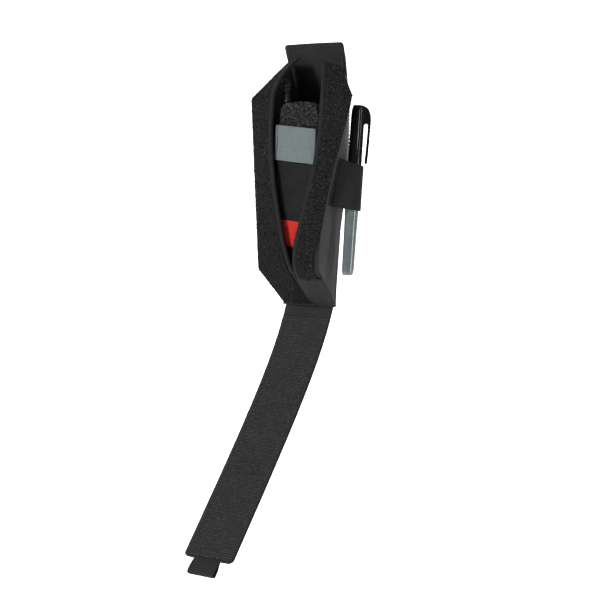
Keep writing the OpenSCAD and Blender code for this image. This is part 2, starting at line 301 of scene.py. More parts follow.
def lathe(name, profile, centre, body, material, sides=64, sharp=35):
    """A turned piece: profile is (radius, height) pairs in millimetres above centre."""
    profile = np.array(profile, float) * MM
    angles = np.linspace(0, 2 * math.pi, sides, endpoint=False)
    rings = [np.stack([r * np.cos(angles), r * np.sin(angles), np.full(sides, z)], 1) for r, z in profile]
    verts = np.concatenate(rings) + centre
    faces = grid_faces(len(profile), sides, wrap=True)
    uv = np.array([[a * profile[0][0] + a * 4 * MM, z] for r, z in profile for a in angles])
    return new_mesh(name, verts, faces, body, material, uv, sharp=sharp)


# ---------------------------------------------------------------- materials


def material(name, roughness=0.6, specular=0.5, coat=0.0):
    mat = bpy.data.materials.new(name)
    mat.use_nodes = True
    shader = mat.node_tree.nodes["Principled BSDF"]
    shader.inputs["Roughness"].default_value = roughness
    shader.inputs["Specular IOR Level"].default_value = specular
    shader.inputs["Coat Weight"].default_value = coat
    shader.inputs["Coat Roughness"].default_value = 0.05
    return mat, mat.node_tree, shader


def link(tree, a, b):
    tree.links.new(a, b)


def coordinates(tree, kind="UV"):
    return tree.nodes.new("ShaderNodeTexCoord").outputs[kind]


def noise(tree, vector, pitch, detail=2.0, rough=0.6):
    node = tree.nodes.new("ShaderNodeTexNoise")
    node.inputs["Scale"].default_value = 1 / pitch
    node.inputs["Detail"].default_value = detail
    node.inputs["Roughness"].default_value = rough
    link(tree, vector, node.inputs["Vector"])
    return node.outputs["Fac"]


def wave(tree, vector, pitch, direction, distortion=0.0):
    node = tree.nodes.new("ShaderNodeTexWave")
    node.bands_direction = direction
    node.inputs["Scale"].default_value = math.pi / (10 * pitch)
    node.inputs["Distortion"].default_value = distortion
    node.inputs["Detail"].default_value = 1.0
    link(tree, vector, node.inputs["Vector"])
    return node.outputs["Fac"]


def mix_values(tree, a, b, operation):
    node = tree.nodes.new("ShaderNodeMath")
    node.operation = operation
    link(tree, a, node.inputs[0])
    link(tree, b, node.inputs[1])
    return node.outputs[0]


def ramp(tree, value, stops):
    node = tree.nodes.new("ShaderNodeValToRGB")
    node.color_ramp.elements[0].position = stops[0][0]
    node.color_ramp.elements[0].color = (*stops[0][1], 1)
    node.color_ramp.elements[1].position = stops[-1][0]
    node.color_ramp.elements[1].color = (*stops[-1][1], 1)
    for position, colour in stops[1:-1]:
        node.color_ramp.elements.new(position).color = (*colour, 1)
    link(tree, value, node.inputs["Fac"])
    return node.outputs["Color"]


def bump(tree, shader, height, strength, distance):
    node = tree.nodes.new("ShaderNodeBump")
    node.inputs["Strength"].default_value = strength
    node.inputs["Distance"].default_value = distance
    link(tree, height, node.inputs["Height"])
    link(tree, node.outputs["Normal"], shader.inputs["Normal"])


def grey(v, tint=0.0):
    return (v * (1 - tint), v, v * (1 + tint))


def woven(name, dark, light, pitch=0.75 * MM, roughness=0.8):
    """Plain woven nylon: two crossed sets of threads, each a little uneven, with broad patches of wear."""
    mat, tree, shader = material(name, roughness, 0.12)
    uv = coordinates(tree)
    threads = mix_values(tree, wave(tree, uv, pitch, "X", 0.4), wave(tree, uv, pitch, "Y", 0.4), "MULTIPLY")
    fibre = noise(tree, uv, pitch * 0.6)
    height = mix_values(tree, threads, fibre, "ADD")
    patches = noise(tree, coordinates(tree, "Object"), 14 * MM, 4)
    tone = mix_values(tree, height, patches, "ADD")
    link(tree, ramp(tree, tone, [(0.45, dark), (1.0, lerp(np.array(dark), np.array(light), 0.6)), (1.9, light)]),
         shader.inputs["Base Color"])
    bump(tree, shader, height, 0.6, 0.25 * MM)
    return mat


def fuzzy(name, dark, light, pitch, roughness=0.95, specular=0.05, low=0.42, high=0.62):
    """Napped pile: speckled at the size of a yarn loop."""
    mat, tree, shader = material(name, roughness, specular)
    where = coordinates(tree, "Object")
    speckle = noise(tree, where, pitch, 3, 0.7)
    link(tree, ramp(tree, speckle, [(low, dark), (high, light)]), shader.inputs["Base Color"])
    bump(tree, shader, speckle, 0.9, 0.4 * MM)
    return mat


def ribbed(name, dark, light, pitch, direction, roughness=0.7):
    """Ribbed webbing: rows of thread across the strap, with a fibre noise on them."""
    mat, tree, shader = material(name, roughness, 0.12)
    uv = coordinates(tree)
    rows = wave(tree, uv, pitch, direction, 0.8)
    fibre = noise(tree, uv, pitch * 0.5, 2)
    height = mix_values(tree, rows, fibre, "ADD")
    link(tree, ramp(tree, height, [(0.4, dark), (1.4, light)]), shader.inputs["Base Color"])
    bump(tree, shader, height, 0.8, 0.3 * MM)
    return mat


def moulded(name, dark, light, roughness, strength=0.15, coat=0.0, specular=0.4):
    """Moulded plastic: fine grain, and faint rubbed patches that change its gloss."""
    mat, tree, shader = material(name, roughness, specular, coat)
    where = coordinates(tree, "Object")
    grain = noise(tree, where, 0.5 * MM, 3)
    rubbed = noise(tree, where, 7 * MM, 5)
    link(tree, ramp(tree, rubbed, [(0.3, dark), (0.75, light)]), shader.inputs["Base Color"])
    gloss = tree.nodes.new("ShaderNodeMapRange")
    gloss.inputs["To Min"].default_value = roughness * 0.75
    gloss.inputs["To Max"].default_value = min(1, roughness * 1.3)
    link(tree, rubbed, gloss.inputs["Value"])
    link(tree, gloss.outputs["Result"], shader.inputs["Roughness"])
    bump(tree, shader, grain, strength, 0.08 * MM)
    return mat


CORDURA = woven("cordura", grey(0.0065), grey(0.030, 0.03))
# Darker copy of the cordura for the back panel: painted shade that stands for the shade inside the pouch.
CORDURA_SHADED_BACK = woven("cordura_back_painted_shade", grey(0.005), grey(0.022, 0.03))
CORDURA_BASE = woven("cordura_base", grey(0.008), grey(0.031, 0.03))
CORDURA_WALL = woven("cordura_wall", grey(0.017), grey(0.050, 0.02), roughness=0.72)
BINDING = woven("binding", grey(0.006), grey(0.020, 0.03), pitch=0.6 * MM)
LOOP_TAPE = fuzzy("loop_tape", grey(0.006), grey(0.022), 0.9 * MM)
LOOP_YARN = fuzzy("loop_yarn", grey(0.010), grey(0.085), 1.5 * MM)
HOOK_BASE = woven("hook_base", grey(0.012), grey(0.036), pitch=0.9 * MM)
HOOK = fuzzy("hook_yarn", grey(0.022), grey(0.095), 2.0 * MM, 0.6, 0.2)
ELASTIC = ribbed("elastic", grey(0.006), grey(0.020), 1.0 * MM, "Y", 0.8)
WEBBING = ribbed("webbing", grey(0.006), grey(0.020), 1.3 * MM, "Y")
BAND = ribbed("band_webbing", grey(0.003), grey(0.012), 1.35 * MM, "Y")
BAND_YARN = fuzzy("band_yarn", grey(0.008), grey(0.15), 1.6 * MM, 0.6, 0.2)
STRAP = fuzzy("strap_grey", (0.105, 0.128, 0.128), (0.170, 0.202, 0.202), 0.7 * MM, 0.8, 0.15, 0.3, 0.7)
RED = ribbed("tip_red", (0.32, 0.012, 0.008), (0.62, 0.036, 0.024), 0.9 * MM, "X", 0.7)
THREAD = fuzzy("thread", grey(0.02), grey(0.085), 0.8 * MM, 0.7, 0.1)
BLACK_PLASTIC = moulded("black_plastic", grey(0.006), grey(0.014), 0.38, specular=0.3)
CAP_PLASTIC = moulded("cap_plastic", grey(0.002), grey(0.005), 0.12, 0.02, 0.0, 0.35)
BARREL = moulded("barrel_plastic", (0.085, 0.102, 0.104), (0.115, 0.135, 0.138), 0.20, 0.05, 0.5, 0.5)
FELT = fuzzy("felt", grey(0.004), grey(0.012), 0.5 * MM)

# ---------------------------------------------------------------- pouch surfaces (right side, x to the right)


def fold_point(z, side=1):
    """The front fold line of a side, in the right side's frame. Only the right one bows inward."""
    t = (z - LIP_LOW) / (LIP_TOP - LIP_LOW)
    bow = SIDE_BOW * math.sin(math.pi * min(1, max(0, t + 0.04)) ** 0.6) if side > 0 else 0
    return np.array([lerp(LOW_HALF, TOP_HALF, t) - bow, FOLD_Y, z])


def opened(z):
    return math.sin(math.pi / 2 * min(1, max(0.004, (z - MOUTH_LOW) / MOUTH_RUN)))


def inner_point(z, side=1):
    """The mouth's edge. Near its foot both edges turn to the right."""
    o = opened(z)
    foot = side * FOOT_SHIFT * max(0, (MOUTH_LOW + 25 * MM - z) / (25 * MM)) ** 1.5
    return np.array([MOUTH_HALF * o ** 1.3 + foot, FOLD_Y - LIP_RISE * math.sqrt(o), z])


CORNER = np.array([TOP_HALF, FOLD_Y, LIP_TOP])
TAB_JOIN = np.array([26 * MM, REAR - 16.5 * MM, HEM + 198 * MM])
EDGE_BEND = np.array([21.3 * MM, REAR - 36.8 * MM, HEM + 185 * MM])
EDGE_END = np.array([10.9 * MM, REAR - 23.5 * MM, HEM + 200 * MM])


def top_lip_point(t, u, side=1):
    """t runs up from the front corner to the tab. The right lip has sunk a little."""
    a = lerp(inner_point(LIP_TOP), EDGE_BEND, t)
    edge = lerp(a, lerp(EDGE_BEND, EDGE_END, t), t)
    p = lerp(lerp(CORNER, TAB_JOIN, t), edge, u)
    return p - np.array([0, 0, 4.5 * MM * t if side > 0 else 0])


SLANT = unit([0, -0.773, 0.634])
SLANT_OUT = unit([0, -0.634, -0.773])
HEM_LINE = np.array([0, REAR - 1.9 * MM, HEM + 0.3 * MM])
SLANT_L = (REAR - 1.9 * MM - FOLD_Y) / -SLANT[1]
COVER_L = SLANT_L * 0.8


def base_point(x, s, out=0.0):
    return HEM_LINE + np.array([x, 0, 0]) + SLANT * s + SLANT_OUT * out


def base_row(x_low, x_high, s0, s1, out, rows, cols):
    """Grid on the slanted base between two slanting sides, each given at the hem and at the top."""
    return np.array([[base_point(lerp(lerp(x_low[1], x_high[1], t), lerp(x_low[0], x_high[0], t), u),
                                 lerp(s0, s1, t), out) for u in np.linspace(0, 1, cols)]
                     for t in np.linspace(0, 1, rows)])


WALL_LOW = (HEM + 1.0 * MM, LIP_LOW + 0.2 * MM)


def swell(t):
    """How far the right wall's back edge swells out, beside the marker's cap."""
    return 3.0 * MM * math.sin(math.pi * min(1, max(0, (t - 0.35) / 0.65))) ** 1.2


def wall_point(t, u, side=1):
    """t runs up and u from the back edge to the front fold; the wall swells outward a little."""
    back = np.array([HALF_W + (swell(t) if side > 0 else 0), REAR - 0.3 * MM, lerp(WALL_LOW[0], BEND, t)])
    z = lerp(WALL_LOW[1], LIP_TOP, t)
    front = fold_point(z, side) + np.array([0.1 * MM, 0.5 * MM, 0])
    p = lerp(back, front, u)
    p[0] += 1.4 * MM * math.sin(math.pi * u) * math.sin(math.pi * min(1, max(0, t)))
    return p


def wall_x(y, z, side=1):
    u = min(0.98, max(0.02, (REAR - y) / (REAR - FOLD_Y)))
    z0 = lerp(WALL_LOW[0], WALL_LOW[1], u)
    z1 = lerp(BEND, LIP_TOP, u)
    return wall_point((z - z0) / (z1 - z0), u, side)[0]


def sided(points, side):
    """Points of the right side, mirrored for the left. The rows turn round, so that the face stays outside."""
    points = np.array(points, float)
    if side < 0:
        points = points[::-1].copy()
        points[..., 0] *= -1
    return points


# ---------------------------------------------------------------- pouch pieces


def back_panel():
    xs = np.linspace(-HALF_W, HALF_W, 40)
    zs = np.linspace(HEM, BEND + 1.2 * MM, 90)
    points = np.array([[(x, REAR, z) for x in xs] for z in zs])
    points[..., 1] -= 0.1 * MM
    for row, z in zip(points, zs):
        row[:, 0] += swell((z - WALL_LOW[0]) / (BEND - WALL_LOW[0])) * np.linspace(0, 1, len(xs)) ** 3
    # The back panel takes the darker cordura, painted shade for the pouch's dark inside.
    panel = sheet("back_panel_cloth", points, CLOTH, "pouch", CORDURA_SHADED_BACK,
                  bumps=soft_noise(points.shape[:2], 9, 0.08 * MM))
    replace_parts(panel, "back_panel")
    for side in (-1, 1):
        line = [(side * (HALF_W - 3 * MM), REAR + 0.02 * MM, z) for z in np.linspace(HEM + 3 * MM, BEND, 50)]
        stitches(f"back_seam_{'left' if side < 0 else 'right'}", line, (0, 1, 0), "pouch")


def walls():
    for side, word in SIDES:
        ts = np.linspace(0, 1, 70)
        us = np.linspace(0, 1, 26)
        grid = [[wall_point(t, u, side) for u in us] for t in ts]
        top = []
        for k in range(1, 9):
            f = k / 8
            a = lerp(wall_point(1, 0), TAB_JOIN + np.array([-0.8 * MM, 1.5 * MM, -2 * MM]), f)
            b = CORNER + np.array([-0.6 * MM, 1.4 * MM, 0.3 * MM])
            top.append([lerp(a, lerp(wall_point(1, 1), b, f), u) for u in us])
        points = sided(grid + top, side)
        crease = soft_noise(points.shape[:2], 7, 0.13 * MM)
        wall = sheet(f"{word}_wall_cloth", points, 1.2 * MM, "pouch", CORDURA_WALL, bumps=crease)
        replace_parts(wall, f"{word}_wall")
        row = [wall_point(t, 0.07, side) + np.array([0.05 * MM, 0, 0]) for t in np.linspace(0.02, 0.98, 60)]
        row = np.array(row) * [side, 1, 1]
        stitches(f"{word}_wall_seam", row, (side, 0, 0), "pouch", radius=0.22 * MM)


def loop_strip(name, points, count, offset):
    """Loop tape: a napped strip and the yarn loops that stand on it."""
    normal = grid_normals(points)
    raised = points + normal * offset
    nap = np.abs(soft_noise(points.shape[:2], 1, 0.16 * MM))
    strip = sheet(name, raised, 0.8 * MM, "pouch", LOOP_TAPE, bumps=nap)
    p, n = scatter(raised, normal, count)
    yarn = pile(name + "_pile", p, n, 0.42 * MM, 0.13 * MM, "pouch", LOOP_YARN)
    return strip, yarn


def edge_binding(name, line, inward, facing):
    """A folded binding that wraps an edge: line is the edge, inward points back across the lip."""
    line = np.asarray(line, float)
    inward = np.broadcast_to(unit(inward), line.shape)
    facing = np.broadcast_to(unit(facing), line.shape)
    section = [(BINDING_W, 1.05), (BINDING_W * 0.75, 1.25), (BINDING_W * 0.4, 1.2), (0.7 * MM, 1.25),
               (0.15 * MM, 0.9), (-0.25 * MM, 0.2), (0.0, -0.7), (0.5 * MM, -1.45), (BINDING_W * 0.5, -1.6),
               (BINDING_W, -1.5)]
    ring = [line + inward * a + facing * b * MM for a, b in section]
    points = np.stack(ring, 1)
    rows, cols = points.shape[:2]
    verts = points.reshape(-1, 3)
    faces = grid_faces(rows, cols, wrap=True)
    faces += [tuple(range(cols - 1, -1, -1)), tuple(range((rows - 1) * cols, rows * cols))]
    uv = arc_lengths(points).reshape(-1, 2)
    piece = new_mesh(name, verts, faces, "pouch", BINDING, uv, sharp=60)
    fix_normals(piece)
    stitches(name + "_stitch", line + inward * (BINDING_W - 0.9 * MM) + facing * 1.3 * MM, facing, "pouch",
             radius=0.22 * MM)
    return piece


def fix_normals(obj):
    bm = bmesh.new()
    bm.from_mesh(obj.data)
    bmesh.ops.recalc_face_normals(bm, faces=bm.faces)
    bm.to_mesh(obj.data)
    bm.free()


def lip_run(side):
    """Fold line and inner edge of a lip, from the hem over the slanted base to its upper corner."""
    zs = np.linspace(LIP_LOW, LIP_TOP + 0.3 * MM, 200)
    crease = fold_point(LIP_LOW, side)[0]
    slant = np.linspace(0, SLANT_L, 60)[:-1]
    outer = [base_point(lerp(HALF_W, crease, s / SLANT_L), s, 0.2 * MM) for s in slant]
    outer += [fold_point(z, side) for z in zs]
    inner = [base_point(side * BASE_SPLIT, s, 0.2 * MM) for s in slant]
    inner += [inner_point(z, side) for z in zs]
    grid = blurred(np.concatenate([outer, inner], axis=1), 3)
    return grid[:, :3], grid[:, 3:]


def lip_grid(side, u0, u1, cols, inset=None):
    """Points of a lip between two shares of its width. inset moves its outer edge in, row by row."""
    outer, inner = lip_run(side)
    start = np.full(len(outer), u0) if inset is None else np.maximum(u0, inset)
    share = start[:, None] + np.linspace(0, 1, cols)[None, :] * (u1 - start[:, None])
    points = outer[:, None] + (inner - outer)[:, None] * share[..., None]
    points[..., 1] -= 0.8 * MM * np.sin(math.pi * np.clip(share, 0, 1))
    return points


def front_lips():
    outer = lip_run(1)[0]
    bare = 0.17 * np.clip((LIP_LOW + 30 * MM - outer[:, 2]) / (20 * MM), 0, 1)
    for side, word in SIDES:
        cloth = sided(lip_grid(side, 0, 0.99, 14), side)
        panel = sheet(f"{word}_lip_cloth", cloth, 1.1 * MM, "pouch", CORDURA)
        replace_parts(panel, f"{word}_lip", f"{word}_base_lip")
        tape = sided(lip_grid(side, 0.01, TAPE_END, 40, inset=bare if side > 0 else None), side)
        strip = loop_strip(f"{word}_lip_tape", tape, 5200, 0.85 * MM)[0]
        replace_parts(strip, f"{word}_lip_loop", *(["left_base_loop"] if side < 0 else []))
        flip = np.array([side, 1, 1])
        outer_edge, edge = lip_run(side)
        line = edge * flip
        inward = unit((outer_edge - edge) * flip)
        facing = unit(np.cross(np.gradient(line, axis=0), inward)) * side
        if side > 0:
            start = 30
            line, inward, facing = line[start:], inward[start:], facing[start:]
        else:
            line = line + facing * 1.0 * MM * np.clip((LIP_LOW - line[:, 2:]) / (6 * MM), 0, 1)
        trim = edge_binding(f"{word}_lip_edge", line, inward, facing)
        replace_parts(trim, f"{word}_lip_binding")


def top_lips():
    """Slanted upper lips."""
    ts = np.linspace(0.0, 1, 60)
    for side, word in SIDES:
        flip = np.array([side, 1, 1])
        cloth = sided([[top_lip_point(t, u, side) for u in np.linspace(0, 0.99, 14)] for t in ts], side)
        panel = sheet(f"{word}_top_cloth", cloth, 1.0 * MM, "pouch", CORDURA)
        tape = sided([[top_lip_point(t, u, side) for u in np.linspace(0.01, TAPE_END, 30)] for t in ts], side)
        strip, yarn = loop_strip(f"{word}_top_tape", tape, 1500, 0.8 * MM)
        line = np.array([top_lip_point(t, 1.0, side) for t in ts]) * flip
        inward = unit(np.array([top_lip_point(t, 0.6, side) for t in ts]) * flip - line)
        facing = unit(np.cross(np.gradient(line, axis=0), inward)) * side
        trim = edge_binding(f"{word}_top_edge", line, inward, facing)
        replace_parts(panel, f"{word}_top_lip")
        pieces = [panel, strip, yarn, trim, bpy.data.objects[f"{word}_top_edge_stitch"]]
        for piece in pieces:
            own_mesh(piece)


def base_pieces():
    """The plain panel on the right of the slanted base, and the hem that it is sewn into."""
    left = BASE_SPLIT
    right = fold_point(LIP_LOW)[0] + 0.7 * MM
    cover = base_row((left - 1.5 * MM, HALF_W + 2.6 * MM), (left - 1.0 * MM, right), 0,
                     COVER_L, 1.9 * MM, 40, 40)
    share = np.linspace(0, 1, 40)
    cover[..., 0] += np.clip(share[None, :] - 0.86, 0, 1) * np.clip(0.3 - share[:, None], 0, 1) * 110 * MM
    bulge = np.outer(np.sin(math.pi * share), np.sin(math.pi * share)) * 0.5 * MM
    plain = sheet("base_panel_cloth", cover, 1.2 * MM, "pouch", CORDURA_BASE,
                  bumps=bulge + soft_noise((40, 40), 5, 0.06 * MM))
    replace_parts(plain, "base_panel")
    top = [base_point(x, COVER_L - 2.2 * MM, 2.1 * MM) for x in np.linspace(7 * MM, LOW_HALF - 4 * MM, 20)]
    stitches("base_panel_top_stitch", top, SLANT_OUT, "pouch", radius=0.2 * MM)
    sides = [base_point(lerp(HALF_W - 1.6 * MM, LOW_HALF - 5.4 * MM, t), lerp(0, SLANT_L * 0.78, t), 2.1 * MM)
             for t in np.linspace(0.02, 0.98, 20)]
    stitches("base_panel_side_stitch", sides, SLANT_OUT, "pouch", radius=0.3 * MM)
    xs = np.linspace(HALF_W + 0.8 * MM, -HALF_W - 0.3 * MM, 50)
    profile = [(0.4, 1.8), (-0.6, 0.9), (-1.2, 0.0), (-1.2, -1.0), (-0.7, -1.7)]
    strip = np.array([[(x, REAR + (a - 2.6) * MM, HEM + b * MM) for x in xs] for a, b in profile])
    sheet("hem_fold", strip[::-1], 1.0 * MM, "pouch", CORDURA)


TAB_LEAN = math.radians(24)
TAB_L = 46 * MM
TAB_START = BEND + 0.6 * MM
TAB_TOP_HALF = high("top_tab")[0]
TAB_CORNER = 3 * MM
TAB_UP = np.array([0, -math.sin(TAB_LEAN), math.cos(TAB_LEAN)])
TAB_FRONT = np.array([0, -math.cos(TAB_LEAN), -math.sin(TAB_LEAN)])


def tab_point(x, s, out=0.0):
    return np.array([x, REAR - 0.1 * MM, TAB_START]) + TAB_UP * s + TAB_FRONT * (1.6 * MM + out)


def rounded(half, s, end, radius):
    """Half width at a distance along a strip whose end has rounded corners."""
    over = s - (end - radius)
    return half if over <= 0 else half - radius + math.sqrt(max(0, radius ** 2 - over ** 2))


def tab_half(s):
    """Half width of the tab at a distance up from its bend."""
    return rounded(lerp(HALF_W, TAB_TOP_HALF, min(1, s / (TAB_L * 0.7))), s, TAB_L, TAB_CORNER)


def top_tab():
    """Stiff folded tab above the back panel."""
    ss = np.concatenate([np.linspace(0, TAB_L - TAB_CORNER, 40),
                         TAB_L - TAB_CORNER * (1 - np.sin(np.linspace(0.1, 1.5, 10)))])
    points = np.array([[tab_point(u * tab_half(s), s) for u in np.linspace(1, -1, 50)] for s in ss])
    points[..., 1] -= 0.5 * MM * np.cos(np.linspace(-1.5, 1.5, 50))[None, :]
    points[..., 0] += np.minimum(0, points[..., 0]) * 0.07 * (ss / TAB_L)[:, None]
    tab = sheet("top_tab_cloth", points, 1.6 * MM, "pouch", CORDURA,
                bumps=soft_noise(points.shape[:2], 8, 0.08 * MM))
    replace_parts(tab, "top_tab")
    rise = np.linspace(6 * MM, TAB_L - 2.6 * MM, 20)
    rail = [tab_point(-(tab_half(s) - 2.4 * MM), s, 0.6 * MM) for s in rise]
    rail += [tab_point(u * (TAB_TOP_HALF - 3 * MM), TAB_L - 2.4 * MM, 0.8 * MM) for u in np.linspace(-1, 1, 30)]
    rail += [tab_point(tab_half(s) - 2.4 * MM, s, 0.6 * MM) for s in rise[::-1]]
    seam = stitches("top_tab_stitch", rail, unit(TAB_FRONT), "pouch", radius=0.2 * MM)
    for piece in (tab, seam):
        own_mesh(piece)


# ---------------------------------------------------------------- elastic loops and belt loop


def elastic_z():
    return low("left_elastic_loop")[2], high("left_elastic_loop")[2]


def left_elastic():
    z0, z1 = elastic_z()
    ys = np.linspace(REAR - 3.5 * MM, FOLD_Y + 3.5 * MM, 30)
    points = np.array([[(wall_x(y, z, -1) + 0.9 * MM, y, z) for y in ys] for z in np.linspace(z0, z1, 34)])
    piece = sheet("left_elastic", sided(points, -1), 0.9 * MM, "pouch", ELASTIC,
                  bumps=soft_noise((34, 30), 4, 0.05 * MM))
    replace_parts(piece, "left_elastic_loop")


def marker_axis():
    return (low("marker_barrel")[:2] + high("marker_barrel")[:2]) / 2


def elastic_path(z, radius, lift):
    """Path of the elastic at one height, from the back of the wall round the marker to the wall's front."""
    centre = marker_axis()
    first = np.array([wall_x(REAR - 3 * MM, z) + lift, REAR - 3 * MM])
    last = np.array([wall_x(REAR - 29 * MM, z) + lift, REAR - 29 * MM])
    a, b = first - centre, last - centre
    start = math.atan2(a[1], a[0]) - math.acos(radius / np.linalg.norm(a))
    end = math.atan2(b[1], b[0]) + math.acos(radius / np.linalg.norm(b))
    arc = [centre + radius * np.array([math.cos(t), math.sin(t)]) for t in np.linspace(start, end, 40)]
    return [(x, y, z) for x, y in resampled([first, *arc, last], 70)]


def right_elastic():
    z0, z1 = elastic_z()
    points = np.array([elastic_path(z, 7.35 * MM, 1.6 * MM) for z in np.linspace(z0, z1, 40)])
    waist = 0.14 * MM * np.sin(np.linspace(0, math.pi, 40))[:, None]
    askew = np.sin(np.linspace(0, math.pi, 70))[None, :] * np.linspace(2.4, 4.4, 40)[:, None]
    points[..., 2] -= askew * MM
    piece = sheet("right_elastic", points, 0.95 * MM, "pouch", ELASTIC,
                  bumps=soft_noise((40, 70), 3, 0.05 * MM) - waist)
    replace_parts(piece, "right_elastic_loop")
    ys = np.linspace(REAR - 2.5 * MM, FOLD_Y + 3 * MM, 30)
    flat = np.array([[(wall_x(y, z) + 0.75 * MM, y, z) for y in ys] for z in np.linspace(z0, z1, 30)])
    sheet("right_elastic_base", flat, 0.7 * MM, "pouch", ELASTIC)
    for y, word in ((REAR - 4.5 * MM, "rear"), (FOLD_Y + 5.6 * MM, "front")):
        for side, hand in SIDES:
            tack = [(side * (wall_x(y, z, side) + 1.45 * MM), y, z) for z in np.linspace(z0 + MM, z1 - MM, 20)]
            stitches(f"{hand}_elastic_tack_{word}", tack, (side, 0, 0), "pouch", pitch=2.2 * MM, length=1.7 * MM,
                     radius=0.2 * MM)


def belt_loop():
    half = high("belt_loop")[0]
    z = high("belt_loop")[2]
    y0, y1 = REAR + 0.15 * MM, high("belt_loop")[1]
    route = [(y0 + 1.6 * MM, -z), (y0 + 1.6 * MM, -z * 0.79), (y1, -z * 0.62), (y1, 0), (y1, z * 0.62),
             (y0 + 1.6 * MM, z * 0.79), (y0 + 1.6 * MM, z)]
    line = blurred(resampled(route, 140), 5, held=False)
    points = np.array([[(x, y, h) for x in np.linspace(-half, half, 40)] for y, h in line])
    ridges = 0.12 * MM * (np.abs(np.sin(np.linspace(0, 14 * math.pi, 40)))[None, :] * np.ones((140, 1)) - 1)
    strap = sheet("belt_loop_webbing", points, 1.5 * MM, "pouch", WEBBING, bumps=ridges)
    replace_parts(strap, "belt_loop")
    for s, word in ((-1, "low"), (1, "high")):
        for k, at_z in enumerate((z - 2 * MM, z - 8 * MM)):
            row = [(x, y0 + 1.72 * MM, s * at_z) for x in np.linspace(-half + 3 * MM, half - 3 * MM, 20)]
            stitches(f"belt_loop_tack_{word}_{k}", row, (0, 1, 0), "pouch", pitch=2.4 * MM, length=1.9 * MM)


# ---------------------------------------------------------------- flap

FLAP_HALF = high("flap_middle")[0]
FLAP_SPANS = (46 * MM, 139 * MM, 44 * MM)
FLAP_L = sum(FLAP_SPANS)
HOOK_T = 1.0 * MM
FLAP_STEP = 0.5 * MM
FLAP_CORNER = 4 * MM


def flap_lean(s):
    return math.radians(34.5 - 18.5 * math.exp(-4.5 * s / FLAP_L))


def flap_route():
    point = np.array([HEM_LINE[1], HEM_LINE[2]]) + np.array([SLANT_OUT[1], SLANT_OUT[2]]) * 2.2 * MM
    route = [point]
    for k in range(int(round(FLAP_L / FLAP_STEP)) + 2):
        lean = flap_lean(k * FLAP_STEP)
        point = point - FLAP_STEP * np.array([math.sin(lean), math.cos(lean)])
        route.append(point)
    return np.array(route)


FLAP_ROUTE = flap_route()


def flap_point(x, s, d=0.0):
    """Point on the flap, s along it and d behind its hook face."""
    k = s / FLAP_STEP
    y = np.interp(k, np.arange(len(FLAP_ROUTE)), FLAP_ROUTE[:, 0])
    z = np.interp(k, np.arange(len(FLAP_ROUTE)), FLAP_ROUTE[:, 1])
    lean = flap_lean(s)
    if s < 0:
        z -= s
    return np.array([x, y + d * math.cos(lean), z - d * math.sin(lean)])


def flap_front(s):
    lean = flap_lean(s)
    return np.array([0, -math.cos(lean), math.sin(lean)])


FLAP_PARTS = (
    ("base", -1.6 * MM, 24 * MM, ("pouch", "flap_low"), 0.0, ("flap_base", "flap_base_hook")),
    ("middle", 24 * MM, 118 * MM, ("flap_low", "flap_mid"), FLAP_SPANS[0], ("flap_middle", "flap_middle_hook")),
    ("end", 118 * MM, FLAP_L, ("flap_mid", "flap_tip"), FLAP_SPANS[0] + FLAP_SPANS[1],
     ("flap_end_panel", "flap_end_hook")),
)
HOOK_FROM = 10 * MM
HOOK_PITCH = 2.0 * MM
FLAP_ROWS = 480
FLAP_NOISE = soft_noise((FLAP_ROWS, 44), 9, 0.06 * MM)


def flap_blend(piece, hinge):
    """Works out where a bend round the hinge would start and end, then takes the piece off its body and leaves it
    where it stands.
    """
    reach = 5 * MM
    start = flap_point(0, hinge - reach if hinge > 0 else -1.5 * MM)
    end = flap_point(0, hinge + reach if hinge > 0 else 5 * MM)
    piece.parent = None
    piece.matrix_world = Matrix.Identity(4)
    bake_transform(piece)


def flap():
    """One strip in three parts, each given a hinge place of its own."""
    us = np.linspace(-1, 1, 44)
    half = FLAP_HALF - 0.8 * MM
    for word, s0, s1, bodies, hinge, nodes in FLAP_PARTS:
        ss = np.arange(s0, s1 + 0.25 * MM, 0.5 * MM)
        if word == "end":
            ss = np.concatenate([ss[ss < FLAP_L - FLAP_CORNER],
                                 FLAP_L - FLAP_CORNER * (1 - np.sin(np.linspace(0.0, 1.52, 12)))])
        cloth = np.array([[flap_point(u * rounded(FLAP_HALF, s, FLAP_L, FLAP_CORNER), s, HOOK_T) for u in us]
                          for s in ss])
        at = (np.clip(ss / FLAP_L, 0, 1) * (FLAP_ROWS - 1)).astype(int)
        panel = sheet(f"flap_{word}_cloth", cloth, 1.4 * MM, bodies[1], CORDURA,
                      bumps=FLAP_NOISE[at], run=s0 + 0.1)
        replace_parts(panel, nodes[0])
        h0, h1 = max(s0, HOOK_FROM), min(s1, FLAP_L - 2 * MM)
        hs = np.linspace(h0, h1, int((h1 - h0) / MM))
        tape = np.array([[flap_point(u * rounded(half, s + MM, FLAP_L, FLAP_CORNER), s, 0.15 * MM) for u in us]
                         for s in hs])
        hook_sheet = sheet(f"flap_{word}_hook_tape", tape, 0.8 * MM, bodies[1], HOOK_BASE,
                           run=h0 + 0.1)
        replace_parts(hook_sheet, nodes[1])
        pieces = [panel, hook_sheet, hook_field(word, h0, h1, half - 0.8 * MM, bodies[1])]
        for side, hand in SIDES:
            spots = np.linspace(h0, h1, 60)
            line = [flap_point(side * (half - 3.2 * MM), s, -0.3 * MM) for s in spots]
            pieces.append(stitches(f"flap_{word}_stitch_{hand}", line, [flap_front(s) for s in spots], bodies[1],
                                   radius=0.2 * MM))
        if word == "base":
            row = [flap_point(x, 8.6 * MM, 0.9 * MM) for x in np.linspace(-half + 4 * MM, half - 2 * MM, 40)]
            pieces.append(stitches("flap_top_stitch", row, flap_front(8 * MM), bodies[1], pitch=3.4 * MM,
                                   length=1.7 * MM, radius=0.38 * MM))
        for piece in pieces:
            flap_blend(piece, hinge)
    flap_box_stitch()


